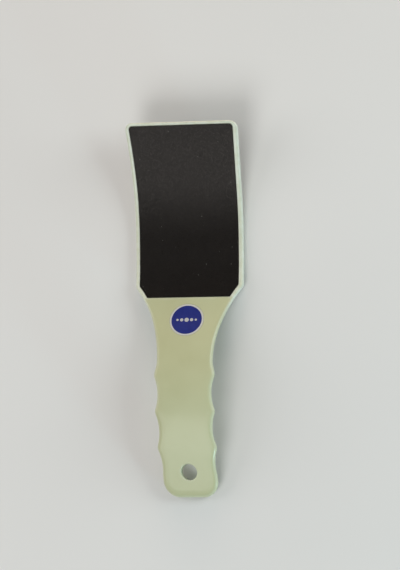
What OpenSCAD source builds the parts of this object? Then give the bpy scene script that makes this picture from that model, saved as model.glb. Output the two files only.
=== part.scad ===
// Paddle foot file: a moulded blade with a scalloped grip, a coated abrasive
// sheet bonded into a shallow recess on each face, and a round label on the neck.
// X runs across the file, Y along it with the head towards +Y, and Z up out of
// the front face. The file lies on its back on the plane Z = 0, and Y = 0 is the
// middle of the short flat that it rests on.

/* [Side profile of the blade] */
// Thickness of the moulded blade
body_t = 5.2; // [4:0.1:6.8]
// Length of the flat under the head that the file rests on
rest_len = 12; // [6:1:20]
// Radius of the bend that lifts the head off the flat
head_r = 120.5; // [100:0.5:200]
// Angle of that bend
head_angle = 19; // [10:0.5:23]
// Radius of the gentler bend that carries on to the tip
tip_r = 320; // [250:10:900]
// Length of blade in the tip bend
tip_len = 43.5; // [30:0.5:60]
// Radius of the bend that lifts the neck off the flat
neck_r = 104; // [84:1:130]
// Angle at which the neck climbs
neck_angle = 25; // [21:0.5:28]
// Length of straight neck between the two bends
neck_len = 4.25; // [1:0.25:9]
// Radius of the arched grip on the side of the neck
arch_r = 99; // [80:1:130]
// Radius of the arched grip on the side of the hole
back_r = 121.5; // [100:0.5:140]
// Angle at which the end of the handle drops
back_angle = 23; // [21:0.5:25]

/* [Outline of the head] */
// Width of the head where its sides are parallel
head_w = 74.9; // [62:0.1:90]
// Distance from the rest flat to where the sides start to flare
flare_from = 30; // [20:1:50]
// Radius of the flared sides
flare_r = 840; // [600:10:2000]
// Radius of the two tip corners
tip_corner_r = 5; // [3.4:0.1:8]
// Radius of the shoulders that run in to the neck
shoulder_r = 79.6; // [62:0.2:96]
// Radius that softens the corner between side and shoulder
shoulder_edge_r = 3; // [1:0.5:5]

/* [Outline of the grip] */
// Width of the neck at its narrowest
neck_w = 38.7; // [32:0.1:40]
// Distance from the neck's narrowest place to the first finger crest
neck_to_crest = 9.85; // [8:0.05:12]
// Radius of the first hollow, beside the neck
first_hollow_r = 17; // [14:1:26]
// Width across the first pair of crests
first_crest_w = 41.9; // [40.4:0.1:45]
// Width across the last pair of crests
last_crest_w = 41.2; // [39.8:0.1:45]
// Number of pairs of finger crests
crests = 3; // [2:1:3]
// Distance from one crest to the next
crest_pitch = 24.5; // [22:0.25:28]
// Radius of the hollows between the crests
hollow_r = 31.5; // [24:0.5:38]
// Width across the first pair of hollows
hollow_w = 37.4; // [34:0.1:38.4]
// How much each next pair of hollows is narrower
hollow_narrowing = 0.3; // [0:0.1:0.8]
// Distance from the last crest to the end of the handle
crest_to_end = 33.9; // [31:0.1:38]
// Width of the rounded end
end_w = 37.9; // [36.8:0.1:40]
// Radius of the two corners of the rounded end
end_corner_r = 11; // [6:0.5:14]

/* [Hanging hole] */
// Diameter of the hanging hole
hole_d = 11; // [6:0.5:14]
// Distance from the end of the handle to the middle of the hole
hole_from_end = 17.5; // [15:0.1:20]

/* [Abrasive sheets] */
// Width of the rim left beside each sheet
rim_w = 2.75; // [2:0.05:5]
// Width of the rim left beyond each sheet at the tip
tip_rim_w = 2.2; // [1.6:0.05:5]
// How far the sheets reach past the corners of the shoulders
sheet_reach = 7.1; // [3:0.1:12]
// Radius of the sheets' corners at the tip
sheet_corner_r = 2; // [0.6:0.1:6]
// Depth of the recess in each face
recess_depth = 1; // [0.8:0.05:1.4]
// Gap between a sheet's edge and the wall of its recess
sheet_gap = 0.25; // [0.1:0.05:0.6]
// Thickness of the adhesive film under a sheet
adhesive_t = 0.15; // [0.1:0.05:0.3]
// Thickness of a sheet's cloth backing
backing_t = 0.45; // [0.3:0.05:0.8]
// Thickness of the coarse grit coat on the front
coarse_t = 0.65; // [0.4:0.05:1]
// Thickness of the fine grit coat on the rear
fine_t = 0.6; // [0.4:0.05:1]

/* [Label] */
// Diameter of the round label
label_d = 23.6; // [14:0.1:26]
// Distance from the end of the sheet's recess to the middle of the label
label_from_sheet = 15.4; // [14:0.1:24]
// Depth of the pocket that the label sits in
label_pocket = 0.25; // [0.1:0.05:0.5]
// Gap round the label in its pocket
label_gap = 0.15; // [0.05:0.05:0.4]
// Thickness of the label's adhesive film
label_adhesive_t = 0.1; // [0.05:0.05:0.2]
// Thickness of the printed label
label_t = 0.3; // [0.2:0.05:0.6]

/* [Hidden] */
$fn = 96;

// How far cuts run past what they cut
cut_over = 5;
// Number of flat steps in each bend
bend_steps = 12;
// Number of flat steps round a corner of the outline
corner_steps = 12;

half_t = body_t / 2;
recess_floor = half_t - recess_depth;

// The fine sheet stands this far proud of the rear face and meets the ground
rear_stack = adhesive_t + backing_t + fine_t;
rear_proud = max(0, rear_stack - recess_depth);
mid_z = rear_proud + half_t;

// The blade's middle line is a chain of straights and bends. A pose on it is
// [distance from the rest flat's middle, height, heading], and the head's side
// and the handle's side are each walked outwards from the flat.
function after_run(pose, len) =
    [pose[0] + len * cos(pose[2]), pose[1] + len * sin(pose[2]), pose[2]];
function after_bend(pose, r, turn) =
    let (side = sign(turn), h = pose[2] + turn)
    [pose[0] + side * r * (sin(h) - sin(pose[2])),
     pose[1] + side * r * (cos(pose[2]) - cos(h)), h];

// The poses along a bend, after its first
function bend_poses(pose, r, turn) =
    [for (k = [1 : bend_steps]) after_bend(pose, r, turn * k / bend_steps)];

// The pose that a bend to one side, or a straight where the side is 0, has at a distance
function pose_on(pose, r, side, distance) = side == 0
    ? after_run(pose, (distance - pose[0]) / cos(pose[2]))
    : let (h = asin(sin(pose[2]) + side * (distance - pose[0]) / r)) after_bend(pose, r, h - pose[2]);

flat_mid = [0, mid_z, 0];
flat_end = after_run(flat_mid, rest_len / 2);

tip_turn = tip_len / tip_r * 180 / PI;
head_bent = after_bend(flat_end, head_r, head_angle);
tip_end = after_bend(head_bent, tip_r, tip_turn);

neck_bent = after_bend(flat_end, neck_r, neck_angle);
neck_run = after_run(neck_bent, neck_len);
arch_top = after_bend(neck_run, arch_r, -neck_angle);
arch_end = after_bend(arch_top, back_r, -back_angle);
// The handle's end drops until its rear edge meets the ground
tail_len = (arch_end[1] - half_t / cos(back_angle)) / sin(back_angle);
tail_end = after_run(arch_end, tail_len);

// The handle's stretches, each with its first pose, its radius and the side it bends to
stretches = [[flat_mid, 0, 0], [flat_end, neck_r, 1], [neck_bent, 0, 0],
             [neck_run, arch_r, -1], [arch_top, back_r, -1], [arch_end, 0, 0]];

// The middle line's pose at a distance from the rest flat's middle, on the handle's side
function pose_at(distance) =
    let (passed = [for (s = stretches) if (s[0][0] <= distance) s], last = passed[len(passed) - 1])
    pose_on(last[0], last[1], last[2], distance);

// Places along Y of what the outline is made of
tip_y = tip_end[0];
end_y = -tail_end[0];
last_crest_y = end_y + crest_to_end;
first_crest_y = last_crest_y + (crests - 1) * crest_pitch;
neck_y = first_crest_y + neck_to_crest;

head_half = head_w / 2;
tip_half = head_half + flare_r - sqrt(pow(flare_r, 2) - pow(tip_y - flare_from, 2));
neck_half = neck_w / 2;
shoulder_x = neck_half + shoulder_r;
shoulder_y = neck_y + sqrt(pow(shoulder_r, 2) - pow(shoulder_x - head_half, 2));
sheet_end_y = shoulder_y - sheet_reach;

// Middle of the fillet between the head's side and the shoulder
edge_x = head_half - shoulder_edge_r;
edge_y = neck_y + sqrt(pow(shoulder_r + shoulder_edge_r, 2) - pow(shoulder_x - edge_x, 2));

all_h = max(tip_end[1], arch_top[1]) + body_t + cut_over;
all_w = 2 * tip_half + 2 * cut_over;

// All the poses from the flat out past the tip, and out past the handle's end
head_poses = concat([flat_end], bend_poses(flat_end, head_r, head_angle),
    bend_poses(head_bent, tip_r, tip_turn), [after_run(tip_end, cut_over)]);
handle_poses = concat([flat_end], bend_poses(flat_end, neck_r, neck_angle),
    [neck_run], bend_poses(neck_run, arch_r, -neck_angle),
    bend_poses(arch_top, back_r, -back_angle), [after_run(tail_end, cut_over)]);

// The line that lies d off the middle line, from past the handle's end to past the tip
function line_off(d) = let (count = len(handle_poses)) concat(
    [for (k = [count - 1 : -1 : 0])
        let (p = handle_poses[k]) [-p[0] + d * sin(p[2]), p[1] + d * cos(p[2])]],
    [for (p = head_poses) [p[0] - d * sin(p[2]), p[1] + d * cos(p[2])]]);

// The layer from lo to hi off the middle line, seen from the side
module layer_profile(lo, hi) {
    top = line_off(hi);
    polygon(concat(line_off(lo), [for (k = [len(top) - 1 : -1 : 0]) top[k]]));
}

// The layer from lo to hi, cut to the outline given as children
module layer(lo, hi) {
    intersection() {
        rotate([90, 0, 90]) translate([0, 0, -all_w / 2])
            linear_extrude(all_w) layer_profile(lo, hi);
        translate([0, 0, -cut_over]) linear_extrude(all_h + cut_over) children();
    }
}

// The same thing on the left and on the right
module both_sides() {
    children();
    mirror([1, 0]) children();
}

// The points of a quarter turn about a centre, from the angle given
function quarter_turn(centre, r, from) =
    [for (k = [0 : corner_steps])
        let (a = from + 90 * k / corner_steps) centre + r * [cos(a), sin(a)]];

// A block with half width half, from y = low to y = high, with two round corners at the top
module rounded_block(half, low, high, corner) {
    polygon(concat([[-half, low], [half, low]],
        quarter_turn([half - corner, high - corner], corner, 0),
        quarter_turn([corner - half, high - corner], corner, 90)));
}

// What is cut off the sides of the head down to y = low, set in all round by the inset
module head_cuts(low, inset) {
    both_sides() {
        translate([head_half + flare_r, flare_from]) circle(flare_r + inset, $fn = 1440);
        translate([head_half - inset, low]) square([tip_half, flare_from - low]);
        intersection() {
            translate([shoulder_x, neck_y]) circle(shoulder_r + inset, $fn = 360);
            translate([0, neck_y]) square([shoulder_x, shoulder_y + cut_over - neck_y]);
        }
    }
}

// What the fillet takes off the corner between side and shoulder
module shoulder_edge_cut() {
    difference() {
        polygon([[edge_x, edge_y], [shoulder_x, neck_y], [shoulder_x, edge_y]]);
        translate([edge_x, edge_y]) circle(shoulder_edge_r);
    }
}

// Half the width across the crests at y
function crest_half(y) =
    (first_crest_w + (last_crest_w - first_crest_w)
        * (first_crest_y - y) / (first_crest_y - last_crest_y)) / 2;

// The grip before its hollows are cut, from under the shoulders to the rounded end
module grip_block() {
    last_hollow_y = last_crest_y - crest_pitch / 2;
    polygon([[-crest_half(last_hollow_y), last_hollow_y], [crest_half(last_hollow_y), last_hollow_y],
             [crest_half(shoulder_y), shoulder_y], [-crest_half(shoulder_y), shoulder_y]]);
    rotate(180) rounded_block(end_w / 2, -last_crest_y, -end_y, end_corner_r);
}

module grip_cuts() {
    both_sides() {
        translate([neck_half + first_hollow_r, neck_y]) circle(first_hollow_r);
        for (k = [0 : crests - 1])
            translate([(hollow_w - k * hollow_narrowing) / 2 + hollow_r,
                       first_crest_y - (k + 1 / 2) * crest_pitch])
                circle(hollow_r, $fn = 180);
    }
}

module blade_outline() {
    difference() {
        union() {
            rounded_block(tip_half, neck_y, tip_y, tip_corner_r);
            grip_block();
        }
        head_cuts(neck_y, 0);
        both_sides() shoulder_edge_cut();
        grip_cuts();
    }
}

// A sheet's outline follows the blade's, set in by the rims and by the inset
module sheet_outline(inset) {
    in = rim_w + inset;
    difference() {
        rounded_block(tip_half - in, sheet_end_y + inset, tip_y - tip_rim_w - inset,
            sheet_corner_r + sheet_gap - inset);
        head_cuts(neck_y, in);
    }
}

// The label's pose on the middle line, and the place of the hole
label_pose = pose_at(label_from_sheet - sheet_end_y);
hole_y = end_y + hole_from_end;

// Stands what is drawn along Z on the blade at a pose on the handle's side
module stand_at(pose) {
    translate([0, -pose[0], pose[1]]) rotate([-pose[2], 0, 0]) children();
}

// A round plug through the layer from lo to hi, square to the neck
module label_disc(lo, hi, d) {
    intersection() {
        layer(lo, hi) translate([0, -label_pose[0]]) circle(label_d);
        stand_at(label_pose) translate([0, 0, -body_t]) cylinder(d = d, h = 2 * body_t + cut_over);
    }
}

module blade() {
    color("#b9bd98")
        difference() {
            layer(-half_t, half_t) blade_outline();
            layer(recess_floor, half_t + cut_over) sheet_outline(0);
            layer(-half_t - cut_over, -recess_floor) sheet_outline(0);
            label_disc(half_t - label_pocket, half_t + cut_over, label_d + 2 * label_gap);
            translate([0, hole_y, -cut_over]) cylinder(d = hole_d, h = all_h + cut_over);
        }
}

module front_adhesive() {
    color("#d8cfa8")
        layer(recess_floor, recess_floor + adhesive_t) sheet_outline(sheet_gap);
}

module front_backing() {
    lo = recess_floor + adhesive_t;
    color("#5a4a3c") layer(lo, lo + backing_t) sheet_outline(sheet_gap);
}

module front_grit() {
    lo = recess_floor + adhesive_t + backing_t;
    color("#2b2825") layer(lo, lo + coarse_t) sheet_outline(sheet_gap);
}

module rear_adhesive() {
    color("#d8cfa8")
        layer(-recess_floor - adhesive_t, -recess_floor) sheet_outline(sheet_gap);
}

module rear_backing() {
    hi = -recess_floor - adhesive_t;
    color("#5a4a3c") layer(hi - backing_t, hi) sheet_outline(sheet_gap);
}

module rear_grit() {
    hi = -recess_floor - adhesive_t - backing_t;
    color("#3a3733") layer(hi - fine_t, hi) sheet_outline(sheet_gap);
}

module label_adhesive() {
    lo = half_t - label_pocket;
    color("#d8cfa8") label_disc(lo, lo + label_adhesive_t, label_d);
}

module label() {
    lo = half_t - label_pocket + label_adhesive_t;
    color("#28306c") label_disc(lo, lo + label_t, label_d);
}

blade();
front_adhesive();
front_backing();
front_grit();
rear_adhesive();
rear_backing();
rear_grit();
label_adhesive();
label();
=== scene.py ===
import logging
import math
from collections import Counter
from dataclasses import dataclass, field
from enum import Enum

import bpy
import numpy as np
from mathutils import Matrix, Vector
from mathutils.kdtree import KDTree


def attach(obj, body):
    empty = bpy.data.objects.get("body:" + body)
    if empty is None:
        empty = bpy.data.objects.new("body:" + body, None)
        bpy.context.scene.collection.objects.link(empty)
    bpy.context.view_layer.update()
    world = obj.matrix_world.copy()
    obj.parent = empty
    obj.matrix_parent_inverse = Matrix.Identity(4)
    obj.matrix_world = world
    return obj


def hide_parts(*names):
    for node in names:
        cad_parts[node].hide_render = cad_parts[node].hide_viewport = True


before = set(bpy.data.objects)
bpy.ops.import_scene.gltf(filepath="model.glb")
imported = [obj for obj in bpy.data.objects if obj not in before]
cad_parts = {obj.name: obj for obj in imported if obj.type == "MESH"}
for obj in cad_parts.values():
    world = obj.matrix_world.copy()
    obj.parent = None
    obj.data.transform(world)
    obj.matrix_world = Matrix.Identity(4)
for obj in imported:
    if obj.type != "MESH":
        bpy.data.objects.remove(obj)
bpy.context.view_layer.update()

log = logging.getLogger("foot_file")
MM = 0.001
# How upright a normal is where its face counts as flat
UPRIGHT = 0.9
# How close two places of the flat model are where they count as one, in millimetres
CLOSE = 1e-3
# A distance that counts as no edge near, in millimetres
FAR_OFF = 99.0
# An eighth of a turn
EIGHTH = math.pi / 4
# The Mix node's two colours that go in, and the one that comes out
FIRST_IN, SECOND_IN, MIX_OUT = 6, 7, 2

Triple = tuple[float, float, float]
Colour = tuple[float, float, float, float]


def soft_share(share: np.ndarray) -> np.ndarray:
    """A share from 0 to 1 that leaves both ends gently."""
    return share ** 2 * (3 - 2 * share)


class Face(Enum):
    """The two faces of the blade that carry a sheet."""

    FRONT = 1
    REAR = -1


class Part(Enum):
    """What a face of the flat blade is going to be."""

    SKIN = 0
    RECESS = 1
    HOLE = 2
    POCKET = 3


@dataclass(frozen=True)
class MiddleLine:
    """The S-shaped line half way through the blade, in millimetres."""

    body_t: float = 5.2
    mid_z: float = 2.8
    rest_len: float = 12.0
    head_r: float = 120.5
    head_angle: float = 19.0
    tip_r: float = 320.0
    tip_len: float = 43.5
    neck_r: float = 104.0
    neck_angle: float = 25.0
    neck_len: float = 4.25
    arch_r: float = 99.0
    back_r: float = 121.5
    back_angle: float = 23.0
    run_out: float = 8.0
    step: float = 0.2
    decimals: int = 5

    def half_t(self) -> float:
        """Half the blade's thickness."""
        return self.body_t / 2

    def _walk(self, spans: list[tuple[float, float]]) -> np.ndarray:
        """Walks straights and bends outwards from the middle of the rest flat.

        Args:
            spans: A length and a signed radius each, the radius 0 for a straight.

        Returns:
            Rows of distance, height and heading.
        """
        d, z, h = 0.0, self.mid_z, 0.0
        rows = [(d, z, h)]
        for length, radius in spans:
            count = max(1, math.ceil(length / self.step))
            start = (d, z, h)
            for k in range(1, count + 1):
                run = length * k / count
                if radius == 0:
                    d = start[0] + run * math.cos(start[2])
                    z = start[1] + run * math.sin(start[2])
                else:
                    h = start[2] + run / radius
                    d = start[0] + radius * (math.sin(h) - math.sin(start[2]))
                    z = start[1] + radius * (math.cos(start[2]) - math.cos(h))
                rows.append((d, z, h))
        return np.array(rows)

    def tail_len(self) -> float:
        """Length of the straight end, which drops until its rear edge meets the ground.

        Returns:
            The length.
        """
        turn = math.radians(self.back_angle)
        top = self._walk(self._handle_spans(0.0)[:-1])[-1]
        return (top[1] - self.half_t() / math.cos(turn)) / math.sin(turn)

    def _handle_spans(self, tail: float) -> list[tuple[float, float]]:
        """The handle's straights and bends, the last one a straight of the length given.

        Args:
            tail: The last straight's length.

        Returns:
            A length and a signed radius for each.
        """
        neck, back = math.radians(self.neck_angle), math.radians(self.back_angle)
        return [(self.rest_len / 2, 0), (self.neck_r * neck, self.neck_r),
                (self.neck_len, 0), (self.arch_r * neck, -self.arch_r),
                (self.back_r * back, -self.back_r), (tail, 0)]

    def _head_spans(self, beyond: float) -> list[tuple[float, float]]:
        """The head's straights and bends, with a straight beyond the tip.

        Args:
            beyond: How far the straight runs past the tip.

        Returns:
            A length and a signed radius for each.
        """
        head = math.radians(self.head_angle)
        return [(self.rest_len / 2, 0), (self.head_r * head, self.head_r),
                (self.tip_len, self.tip_r), (beyond, 0)]

    def ends(self) -> tuple[float, float]:
        """The places along Y of the handle's end and of the tip.

        Returns:
            The lower place and the upper one.
        """
        tail = self._walk(self._handle_spans(self.tail_len()))[-1]
        tip = self._walk(self._head_spans(0.0)[:-1])[-1]
        return -tail[0], tip[0]

    def heading(self, y: float) -> float:
        """The line's slope in radians at y, up towards the tip.

        Args:
            y: The place along Y.

        Returns:
            The slope.
        """
        head, tail = self._both()
        rows = head if y >= 0 else tail
        turn = float(np.interp(abs(y), rows[:, 0], rows[:, 2]))
        return turn if y >= 0 else -turn

    def _both(self) -> tuple[np.ndarray, np.ndarray]:
        """The rows of the head's side and of the handle's side, run out past the ends.

        Returns:
            Rows of distance, height and heading for each side.
        """
        head = self._walk(self._head_spans(self.run_out))
        tail = self._walk(self._handle_spans(self.tail_len() + self.run_out))
        return head, tail

    def lift(self, flat: np.ndarray) -> np.ndarray:
        """Lifts a flat model onto the curved line.

        Args:
            flat: Points whose z is their distance off the middle line.

        Returns:
            The points where they belong, in metres.
        """
        head, tail = self._both()
        out = flat.copy()
        offs = np.round(flat[:, 2], self.decimals)
        for off in np.unique(offs):
            here = offs == off
            ys = np.concatenate([(-tail[:, 0] + off * np.sin(tail[:, 2]))[::-1],
                                 (head[:, 0] - off * np.sin(head[:, 2]))[1:]])
            zs = np.concatenate([(tail[:, 1] + off * np.cos(tail[:, 2]))[::-1],
                                 (head[:, 1] + off * np.cos(head[:, 2]))[1:]])
            out[here, 2] = np.interp(flat[here, 1], ys, zs)
        return out * MM


@dataclass(frozen=True)
class Outline:
    """The blade's outline from the front, in millimetres, walked down its right side."""

    line: MiddleLine
    head_w: float = 74.9
    flare_from: float = 30.0
    flare_r: float = 840.0
    tip_corner_r: float = 5.0
    shoulder_r: float = 79.6
    shoulder_edge_r: float = 3.0
    neck_w: float = 38.7
    neck_to_crest: float = 9.85
    first_hollow_r: float = 17.0
    first_crest_w: float = 41.9
    last_crest_w: float = 41.2
    crests: int = 3
    crest_pitch: float = 24.5
    hollow_r: float = 31.5
    hollow_w: float = 37.4
    hollow_narrowing: float = 0.3
    crest_to_end: float = 33.9
    end_w: float = 37.9
    end_corner_r: float = 11.0
    end_blend_r: float = 20.0
    side_rim: float = 2.75
    tip_rim: float = 2.2
    tip_zone: float = 12.0
    least_r: float = 0.3
    step: float = 0.05

    def _arc(self, centre: tuple[float, float], radius: float, start: float, stop: float,
             bulges: bool) -> np.ndarray:
        """Points and outward normals along an arc.

        Args:
            centre: The arc's centre.
            radius: The arc's radius.
            start: Its first angle in radians.
            stop: Its last angle in radians.
            bulges: Whether the outline bulges out there or is hollow.

        Returns:
            Rows of x, y and the normal's x and y.
        """
        count = max(3, math.ceil(radius * abs(stop - start) / self.step))
        angle = np.linspace(start, stop, count)
        ray = np.stack([np.cos(angle), np.sin(angle)], 1)
        return np.hstack([np.array(centre) + radius * ray, ray if bulges else -ray])

    def _straight(self, x: float, high: float, low: float) -> np.ndarray:
        """Points and outward normals down a straight side.

        Args:
            x: Half the width there.
            high: Its upper end along Y.
            low: Its lower end.

        Returns:
            Rows of x, y and the normal's x and y.
        """
        count = max(2, math.ceil((high - low) / self.step))
        ys = np.linspace(high, low, count)
        return np.stack([np.full(count, x), ys, np.ones(count), np.zeros(count)], 1)

    def crest_places(self) -> list[tuple[float, float]]:
        """Half the width and the place along Y of each crest, the first next to the neck.

        Returns:
            Two numbers for each crest.
        """
        last = self.line.ends()[0] + self.crest_to_end
        out = []
        for k in range(self.crests):
            share = k / (self.crests - 1)
            wide = self.first_crest_w + (self.last_crest_w - self.first_crest_w) * share
            out.append((wide / 2, last + (self.crests - 1 - k) * self.crest_pitch))
        return out

    def walk(self) -> np.ndarray:
        """The right side from the tip's corner to the end's corner.

        Returns:
            Rows of x, y and the outward normal's x and y.
        """
        end_y, tip_y = self.line.ends()
        half = self.head_w / 2
        crests = self.crest_places()
        neck_y = crests[0][1] + self.neck_to_crest

        # The tip's corner, and the side that flares out towards it
        flare = (half + self.flare_r, self.flare_from)
        corner_y = tip_y - self.tip_corner_r
        reach = self.flare_r + self.tip_corner_r
        corner_x = flare[0] - math.sqrt(reach ** 2 - (corner_y - flare[1]) ** 2)
        bend = math.atan2(flare[1] - corner_y, flare[0] - corner_x)
        parts = [self._arc((corner_x, corner_y), self.tip_corner_r, math.pi / 2, bend, True),
                 self._arc(flare, self.flare_r, bend + math.pi, math.pi, False)]

        # The straight side, the shoulder's corner and its sweep into the neck
        shoulder = (self.neck_w / 2 + self.shoulder_r, neck_y)
        edge_x = half - self.shoulder_edge_r
        reach = self.shoulder_r + self.shoulder_edge_r
        edge_y = neck_y + math.sqrt(reach ** 2 - (shoulder[0] - edge_x) ** 2)
        bend = math.atan2(shoulder[1] - edge_y, shoulder[0] - edge_x)
        parts += [self._straight(half, self.flare_from, edge_y),
                  self._arc((edge_x, edge_y), self.shoulder_edge_r, 0.0, bend, True),
                  self._arc(shoulder, self.shoulder_r, bend + math.pi, math.pi, False)]

        # The crests, each between the hollow above it and the one below
        hollow_r, hollow_x, hollow_y = self.first_hollow_r, self.neck_w / 2, neck_y
        leave = math.pi
        for k, (crest_x, crest_y) in enumerate(crests):
            above = self._crest(crest_x, crest_y, hollow_r, hollow_x, hollow_y)
            parts += [self._arc((hollow_x + hollow_r, hollow_y), hollow_r, leave, above[1], False),
                      self._arc((crest_x - above[0], crest_y), above[0],
                                above[1] - math.pi, 0.0, True)]
            hollow_r, hollow_x = self.hollow_r, (self.hollow_w - k * self.hollow_narrowing) / 2
            hollow_y = crests[0][1] - (k + 0.5) * self.crest_pitch
            below = self._crest(crest_x, crest_y, hollow_r, hollow_x, hollow_y)
            parts.append(self._arc((crest_x - below[0], crest_y), below[0],
                                   0.0, below[1] - math.pi, True))
            leave = below[1]

        # The last hollow's run into the end, and the end's corner
        side = self.end_w / 2
        blend_x = side - self.end_blend_r
        across = hollow_x + hollow_r - blend_x
        blend_y = hollow_y - math.sqrt((self.end_blend_r + hollow_r) ** 2 - across ** 2)
        meet = math.pi + math.atan2(hollow_y - blend_y, across)
        turn_y = end_y + self.end_corner_r
        parts += [self._arc((hollow_x + hollow_r, hollow_y), hollow_r, leave, meet, False),
                  self._arc((blend_x, blend_y), self.end_blend_r, meet - math.pi, 0.0, True),
                  self._straight(side, blend_y, turn_y),
                  self._arc((side - self.end_corner_r, turn_y), self.end_corner_r,
                            0.0, -math.pi / 2, True)]
        return np.vstack(parts)

    @staticmethod
    def _crest(crest_x: float, crest_y: float, hollow_r: float, hollow_x: float,
               hollow_y: float) -> tuple[float, float]:
        """The round of a crest that runs into a hollow without a corner.

        Args:
            crest_x: Half the width at the crest.
            crest_y: The crest's place along Y.
            hollow_r: The hollow's radius.
            hollow_x: Half the width at the hollow.
            hollow_y: The hollow's place along Y.

        Returns:
            The crest's radius, and the angle at the hollow's centre where they meet.
        """
        gap, along = hollow_x + hollow_r - crest_x, hollow_y - crest_y
        radius = (gap ** 2 + along ** 2 - hollow_r ** 2) / (2 * (hollow_r - gap))
        return radius, math.pi + math.atan2(along, gap + radius)

    def rows_at(self, inset: float, ys: np.ndarray) -> np.ndarray:
        """The outline's points that an inset line passes at given places along Y.

        Args:
            inset: How far in the line lies.
            ys: Places along Y, rising.

        Returns:
            Rows of the inset line's half width, its y, and the outward normal's x and y.
        """
        side = self.walk()
        ix, iy = side[:, 0] - inset * side[:, 2], side[:, 1] - inset * side[:, 3]
        order = np.argsort(iy, kind="stable")
        ix, iy, nx, ny = ix[order], iy[order], side[order, 2], side[order, 3]
        across, *normal = (np.interp(ys, iy, values) for values in (ix, nx, ny))
        out = np.stack([across, ys, *normal], 1)
        out[:, 2:] /= np.linalg.norm(out[:, 2:], axis=1, keepdims=True)
        return out

    def corner_ys(self, inset: float, steps: int) -> tuple[np.ndarray, np.ndarray]:
        """Places along Y at even turns round the end's and the tip's corners.

        Args:
            inset: How far in the line lies.
            steps: Steps in each quarter turn.

        Returns:
            The rising places at the handle's end, and those at the tip.
        """
        end_y, tip_y = self.line.ends()
        turns = np.sin(np.linspace(0, math.pi / 2, steps + 1))
        low, high = self.end_corner_r, self.tip_corner_r
        at_tip = tip_y - high + max(high - inset, self.least_r) * turns
        return (end_y + low - (low - inset) * turns)[::-1], at_tip

    def to_tip(self, ys: np.ndarray) -> np.ndarray:
        """Places along Y stretched towards the tip, where the rim is narrower.

        Args:
            ys: Places along Y.

        Returns:
            The stretched places.
        """
        tip_y = self.line.ends()[1]
        start = tip_y - self.tip_zone
        stretched = np.interp(ys, [start, tip_y - self.side_rim, tip_y],
                              [start, tip_y - self.tip_rim, tip_y])
        return np.where(ys > start, stretched, ys)


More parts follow.
